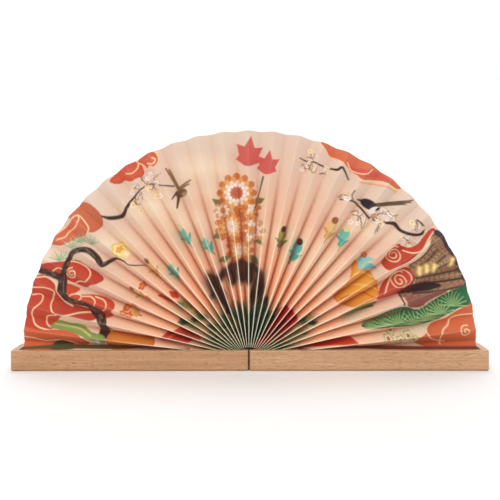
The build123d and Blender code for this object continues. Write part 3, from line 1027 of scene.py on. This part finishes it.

# %% [markdown]
# ## The wood of the case
# The case is light close-grained fruitwood, planed along its length and oiled. A wave texture would give
# even stripes, so the grain is noise stretched twenty to forty times along the boards, once each for growth
# lines, fine fibre and short dark pores. Slow patches of tone lie over them. The rim is paler, partly worn
# and partly a painted highlight, and the foot is darker with painted shade.

# %% Finish the wooden case
def finish_wood(name, pale, deep, shift):
    """Oiled wood with its grain along x. Two boards differ by their tones and a shifted grain."""
    material, start = new_material(name)
    place_in_board = start.node("TexCoord", out="Object")
    height_in_board = start.node("SeparateXYZ", sockets={"Vector": place_in_board}, out="Z")
    growth = place_in_board.stretched((9, 190, 330), shift).noise(1.0, 5, 0.55, 0.5)
    fibre = place_in_board.stretched((55, 1500, 1900), shift).noise(1.0, 3, 0.6)
    pores = place_in_board.stretched((160, 3200, 3600), shift).noise(1.0, 1, 0.5)
    patches = place_in_board.stretched((7, 20, 20), shift).noise(1.0, 2, 0.5)
    pore = pores.between(0.62, 0.7)
    grain = growth.node("ValToRGB", {"stops": [(0.28, ink(*deep)), (0.5, (ink(*deep) + ink(*pale)) / 2),
                                               (0.72, ink(*pale))]}, {"Fac": growth})
    streaked = (0.35 * fibre.between(0.35, 0.7)).mix(grain, rgba(*[0.8 * value for value in deep]))
    patched = (0.4 * patches.between(0.4, 0.7)).mix(streaked, rgba(*deep))
    pored = (0.2 * pore).mix(patched, rgba(96, 58, 36))
    # Paler along the top edge: partly rubbed wear and partly a painted highlight.
    top_edge = height_in_board.between(axis_z - 0.9 * MM, axis_z - 0.2 * MM)
    # Darker towards the foot of the case: painted shade where the case meets the floor.
    foot = height_in_board.between(3.2 * MM, 0.3 * MM)
    worn = (0.15 * top_edge).mix(pored, rgba(238, 204, 170))
    colour = (0.35 * foot).mix(worn, rgba(128, 90, 64))
    roughness = 0.42 + 0.16 * fibre + 0.14 * pore - 0.08 * top_edge
    relief = 0.5 * fibre + 0.3 * growth - 0.9 * pore
    steady = {"Specular IOR Level": 0.4, "Coat Weight": 0.08, "Coat Roughness": 0.35}
    return finish_material(material, steady, {"Base Color": colour, "Roughness": roughness},
                           relief, 0.00018)


def give(material, *names):
    """Puts a finish on CAD nodes, on every one of their material slots."""
    for name in names:
        for slot in nodes[name].material_slots:
            slot.material = material


left_board = finish_wood("oiled_wood_left", (212, 164, 122), (188, 138, 98), (0.3, 0.1, 0.2))
right_board = finish_wood("oiled_wood_right", (220, 174, 134), (198, 150, 110), (5.1, 2.7, 1.4))
give(left_board, "case_half_left")
give(right_board, "case_half_right")

# %% [markdown]
# ## The hinge, its screws, the felt and the magnets
# The hinge is steel with a matt black coat, rubbed to bare metal where it is handled. Felt
# is not metal at all: it is matt, with tangled fibres and a soft sheen at grazing angles.
# One function makes the coated metals and another the felt.

# %% Finish the fittings
def finish_coated_metal(name, coat, bare, wear):
    """A coat over steel, worn through in specks: wear is the share that shows bare metal."""
    material, start = new_material(name)
    at = start.node("TexCoord", out="Object")
    grain = at.noise(2400, 3, 0.6)
    patch = at.noise(420, 4, 0.6)
    rubbed = (0.6 * patch + 0.4 * grain).between(0.72 - wear, 0.82 - wear)
    colour = rubbed.mix(rgba(*coat), rgba(*bare))
    roughness = 0.5 + 0.2 * grain - 0.18 * rubbed
    metallic = 0.15 + 0.85 * rubbed
    return finish_material(material, {"Specular IOR Level": 0.45},
                           {"Base Color": colour, "Roughness": roughness, "Metallic": metallic},
                           grain + 0.6 * rubbed, 0.00004)


def finish_felt(name, tone):
    """Pressed felt: tangled fibres as noise bent by coarser noise."""
    material, start = new_material(name)
    at = start.node("TexCoord", out="Object")
    tangle = at.stretched((1400, 2600, 1800)).noise(1.0, 5, 0.7, 2.0)
    lint = at.noise(5200, 2, 0.5).between(0.62, 0.72)
    colour = (0.35 * tangle + 0.25 * lint).mix(rgba(*tone), rgba(92, 78, 70))
    roughness = 0.86 + 0.12 * tangle
    return finish_material(material, {"Specular IOR Level": 0.2, "Sheen Weight": 0.4},
                           {"Base Color": colour, "Roughness": roughness}, tangle, 0.0002)


black_coat = finish_coated_metal("black_coated_steel", (36, 30, 28), (132, 126, 120), 0.02)
black_screws = finish_coated_metal("blackened_screw_steel", (30, 27, 26), (120, 114, 108), 0.08)
nickel = finish_coated_metal("nickel_plate", (176, 170, 160), (206, 202, 196), 0.2)
felt = finish_felt("pressed_black_felt", (44, 18, 12))
give(black_coat, "hinge_leaf_left", "hinge_leaf_right", "hinge_pin")
give(black_screws, "hinge_screws_left", "hinge_screws_right")
give(nickel, "magnet_left", "magnet_right")
give(felt, "end_pad_left", "end_pad_right")

# %% [markdown]
# ## Floor, light and camera
# The fan stands on a pale sweep that curves up behind it, so that no horizon shows. One
# large soft lamp hangs high at the front left, a weaker one fills from the right, and a third
# brightens the backdrop: small lamps would throw hard shadows from every pleat.

# %% Set the stage, the lamps and the camera
def sweep(width=7.0, front=-2.5, back=1.6, bend=0.9, rise=3.4):
    """Floor and backdrop in one: flat, then a quarter circle of radius bend, then upright."""
    turn = np.linspace(0, np.pi / 2, 25)
    y = np.concatenate([[front], back + bend * np.sin(turn), [back + bend]])
    z = np.concatenate([[0], bend * (1 - np.cos(turn)), [rise]])
    x = np.array([-width / 2, width / 2])
    grid = np.stack(np.broadcast_arrays(x, y[:, None], z[:, None]), -1)
    return grid, grid + np.array([0, 0.02, -0.02])


floor_material, floor_start = new_material("pale_floor")
floor_grain = floor_start.node("TexCoord", out="Object").noise(30, 3, 0.5)
finish_material(floor_material, {"Base Color": (0.92, 0.92, 0.92, 1)},
                {"Roughness": 0.8 + 0.1 * floor_grain})
new_shell("floor_sweep", *sweep(), floor_material)


def lamp(name, at, aim, size, watts, tint=(1, 1, 1)):
    """A square soft lamp at a place, turned towards the place it lights."""
    light = bpy.data.lights.new(name, "AREA")
    light.size = size
    light.energy = watts
    light.color = tint
    holder = bpy.data.objects.new(name, light)
    holder.location = at
    holder.rotation_euler = (Vector(aim) - Vector(at)).to_track_quat("-Z", "Y").to_euler()
    bpy.context.scene.collection.objects.link(holder)


lamp("key_lamp", (-0.5, -1.4, 1.6), (0, 0, 0.1), 1.4, 15, (1.0, 0.985, 0.96))
lamp("fill_lamp", (1.5, -1.6, 0.9), (0, 0, 0.1), 1.2, 4)
lamp("backdrop_lamp", (0, 0.9, 2.6), (0, 2.4, 0.8), 1.6, 30)
world = bpy.context.scene.world or bpy.data.worlds.new("studio")
bpy.context.scene.world = world
world.use_nodes = True
sky = world.node_tree.nodes["Background"].inputs
sky["Color"].default_value = (1, 1, 1, 1)
sky["Strength"].default_value = 0.72
bpy.context.scene.view_settings.view_transform = "Standard"

CAMERA_AT = (0.00825, -0.608, 0.17986)
CAMERA_TURN = np.radians(0.625)
CAMERA_ROLL = np.radians(-0.22)
camera = bpy.data.objects.new("camera", bpy.data.cameras.new("camera"))
camera.data.lens = 43.22
camera.data.shift_y = -0.1217
camera.data.clip_start = 0.01
upright = Matrix.Rotation(CAMERA_TURN, 4, "Z") @ Matrix.Rotation(np.pi / 2, 4, "X")
camera.matrix_world = Matrix.Translation(CAMERA_AT) @ upright @ Matrix.Rotation(CAMERA_ROLL, 4, "Z")
bpy.context.scene.collection.objects.link(camera)
bpy.context.scene.camera = camera
